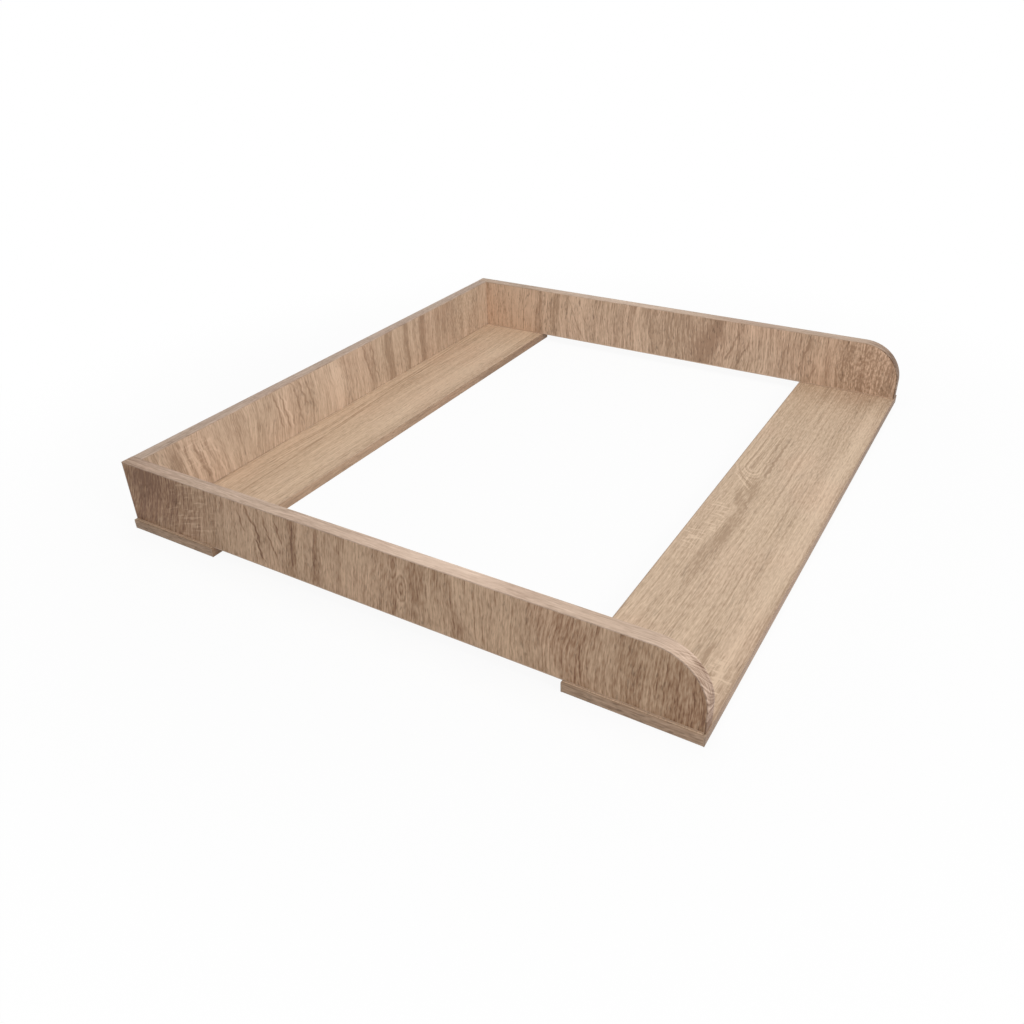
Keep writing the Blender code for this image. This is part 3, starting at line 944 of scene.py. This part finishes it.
THREAD_FROM_HEAD = 11.5 * MM
THREAD_FROM_TIP = 3.5 * MM
THREAD_PITCH = 3.0 * MM
THREAD_ROOT = 2.4 * MM
THREAD_CREST = 3.4 * MM
THREAD_RUN_OUT = 2.45 * MM
THREAD_HALF = 0.55 * MM
THREAD_FLAT = 0.08 * MM
THREAD_STEPS = 16


def thread(node, material):
    """Wind a coarse wood thread round a screw's core, running out at both ends."""
    low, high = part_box(node)
    middle = (low + high) / 2
    start = low.z + THREAD_FROM_HEAD
    count = int((high.z - THREAD_FROM_TIP - start) / THREAD_PITCH * THREAD_STEPS)
    mesh = bmesh.new()
    rows = []
    for index in range(count + 1):
        angle = math.radians(360 * index / THREAD_STEPS)
        out = Vector((math.cos(angle), math.sin(angle), 0.0))
        foot = Vector((middle.x, middle.y, start + THREAD_PITCH * index / THREAD_STEPS))
        full = min(1.0, min(index, count - index) / THREAD_STEPS)
        crest = THREAD_RUN_OUT + (THREAD_CREST - THREAD_RUN_OUT) * full
        profile = (
            (THREAD_ROOT, -THREAD_HALF),
            (crest, -THREAD_FLAT),
            (crest, THREAD_FLAT),
            (THREAD_ROOT, THREAD_HALF),
        )
        points = [foot + out * radius + Vector((0, 0, rise)) for radius, rise in profile]
        rows.append([mesh.verts.new(point) for point in points])
    join_rows(mesh, rows)
    new_piece(f"{node}_thread", mesh, material)


RAY_CELLS = (900.0, 220.0, 900.0)
BEECH_STOPS = (0.35, linear(188, 150, 112)), (0.6, linear(217, 184, 146))
BEECH_ROUGHNESS_RANGE = (-0.2, 0.2, 0.6, 0.75)


def beech():
    """Return pale beech with short dark rays, its grain along the dowel."""
    material, graph, shader = new_material("beech")
    attribute = graph.add("ShaderNodeAttribute", attribute_name=STRIP_AXES)
    place = graph.split(attribute.outputs["Vector"])
    rays = graph.noise(*[graph.times(*pair) for pair in zip(place, RAY_CELLS)])
    tint = graph.colours(graph.plus(rays, NOISE_MIDDLE), BEECH_STOPS)
    graph.feed(tint, shader.inputs["Base Color"])
    graph.feed(graph.ramp(rays, *BEECH_ROUGHNESS_RANGE), shader.inputs["Roughness"])
    return material


CHAMFER = 1.0 * MM
FLUTES = 14
FLUTE_DEPTH = 0.3 * MM
FLUTE_SIDES = 4


def fluted_dowel(node, material):
    """Replace a dowel by one with glue flutes along it and chamfered ends."""
    low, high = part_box(node)
    size = high - low
    axis = max((X, Y, Z), key=lambda each: size[each])
    side, rise = [each for each in (X, Y, Z) if each != axis]
    half = size[axis] / 2
    radius = size[side] / 2
    sections = (
        (-half, radius - CHAMFER),
        (CHAMFER - half, radius),
        (half - CHAMFER, radius),
        (half, radius - CHAMFER),
    )
    mesh = bmesh.new()
    grain = mesh.verts.layers.float_vector.new(STRIP_AXES)
    rows = []
    for along, reach in sections:
        row = []
        for step in range(FLUTES * FLUTE_SIDES):
            angle = math.radians(360 * step / (FLUTES * FLUTE_SIDES))
            away = reach - (FLUTE_DEPTH if step % FLUTE_SIDES == 0 else 0.0)
            place = (low + high) / 2
            place[axis] += along
            place[side] += away * math.cos(angle)
            place[rise] += away * math.sin(angle)
            vert = mesh.verts.new(place)
            vert[grain] = (away * math.cos(angle), along, away * math.sin(angle))
            row.append(vert)
        rows.append(row)
    join_rows(mesh, rows)
    new_piece(f"{node}_fluted", mesh, material, node)


def fasteners():
    """Plate and thread the screws, and flute the dowels."""
    steel = zinc_steel()
    wood = beech()
    screws = [node for node in NODES if "_screw_" in node]
    dress(screws, steel)
    for node in screws:
        thread(node, steel)
    for node in NODES:
        if "dowel" in node:
            fluted_dowel(node, wood)


# Floor, world, lamps and camera

FLOOR_DROP = 0.4 * MM
FLOOR_SIZE = 14.0
FLOOR_ALBEDO = 0.8
GLOW_NEAR = 0.92
SHADOW_START = 0.45
SHADOW_END = 0.95


def seen_directly(graph):
    """Return 1 for the camera's rays and for those that a gloss or a glass sends on."""
    path = graph.add("ShaderNodeLightPath")
    seen = graph.math("MAXIMUM", path.outputs["Is Camera Ray"], path.outputs["Is Glossy Ray"])
    return graph.math("MAXIMUM", seen, path.outputs["Is Transmission Ray"])


def white_floor():
    """Lay a white floor that keeps the tray's soft shadow and fades to pure white around it."""
    bpy.ops.mesh.primitive_plane_add(size=FLOOR_SIZE, location=(0, 0, -FLOOR_DROP))
    floor = bpy.context.object
    floor.name = "floor"
    material, graph, shader = new_material("floor_white")
    graph.tree.nodes.remove(shader)
    coordinates = graph.add("ShaderNodeTexCoord")
    x, y, _ = graph.split(coordinates.outputs["Object"])
    away = graph.math("SQRT", graph.plus(graph.times(x, x), graph.times(y, y)))
    share = graph.ramp(away, SHADOW_START, SHADOW_END, GLOW_NEAR, 1.0)
    diffuse = graph.add("ShaderNodeBsdfDiffuse")
    diffuse.inputs["Color"].default_value = (FLOOR_ALBEDO, FLOOR_ALBEDO, FLOOR_ALBEDO, 1.0)
    glow = graph.add("ShaderNodeEmission")
    mixer = graph.add("ShaderNodeMixShader")
    graph.feed(graph.times(seen_directly(graph), share), mixer.inputs[0])
    graph.feed(diffuse.outputs[0], mixer.inputs[1])
    graph.feed(glow.outputs[0], mixer.inputs[2])
    graph.feed(mixer.outputs[0], graph.tree.nodes["Material Output"].inputs[0])
    floor.data.materials.append(material)


WORLD_LIGHT = 0.43


def white_world():
    """Surround the tray with a dim even light that the camera sees as white."""
    world = bpy.data.worlds.new("studio")
    bpy.context.scene.world = world
    world.use_nodes = True
    graph = Graph(world.node_tree)
    background = world.node_tree.nodes["Background"]
    background.inputs["Color"].default_value = (1.0, 1.0, 1.0, 1.0)
    strength = graph.ramp(seen_directly(graph), 0.0, 1.0, WORLD_LIGHT, 1.0)
    graph.feed(strength, background.inputs["Strength"])


# Soft boxes: name, place, side in metres and power in watts
SOFT_BOXES = (
    ("front_soft_box", (-0.6, -2.6, 0.95), 1.6, 45.8),
    ("top_soft_box", (-0.1, 0.0, 1.6), 1.0, 11.3),
)


def soft_box(name, place, size, power):
    """Add a square soft box that faces the tray."""
    data = bpy.data.lights.new(name, "AREA")
    data.shape = "SQUARE"
    data.size = size
    data.energy = power
    lamp = bpy.data.objects.new(name, data)
    lamp.location = place
    lamp.rotation_euler = (-Vector(place)).to_track_quat("-Z", "Y").to_euler()
    bpy.context.scene.collection.objects.link(lamp)


# Fitted to the straight edges of the photograph
CAMERA_PLACE = (-0.95453, -0.52169, 0.58565)
CAMERA_TURN_DEGREES = (58.3418, 1.4315, -59.055)
CAMERA_LENS = 31.6482
CAMERA_SENSOR = 36.0


def add_camera():
    """Set the camera at the photograph's viewing angle."""
    data = bpy.data.cameras.new("camera")
    data.sensor_width = CAMERA_SENSOR
    data.lens = CAMERA_LENS
    camera = bpy.data.objects.new("camera", data)
    camera.location = CAMERA_PLACE
    camera.rotation_euler = [math.radians(angle) for angle in CAMERA_TURN_DEGREES]
    bpy.context.scene.collection.objects.link(camera)
    bpy.context.scene.camera = camera


dress_panels()
dress_bases()
base_bands("front", 21.0, (), FRONT_LONG_EDGE, 41.0)
base_bands("rear", 37.0, REAR_END_FIGURES, REAR_LONG_EDGE, 57.0)
panel_bands()
fasteners()
white_floor()
white_world()
for box in SOFT_BOXES:
    soft_box(*box)
add_camera()
bpy.context.scene.view_settings.view_transform = "Standard"
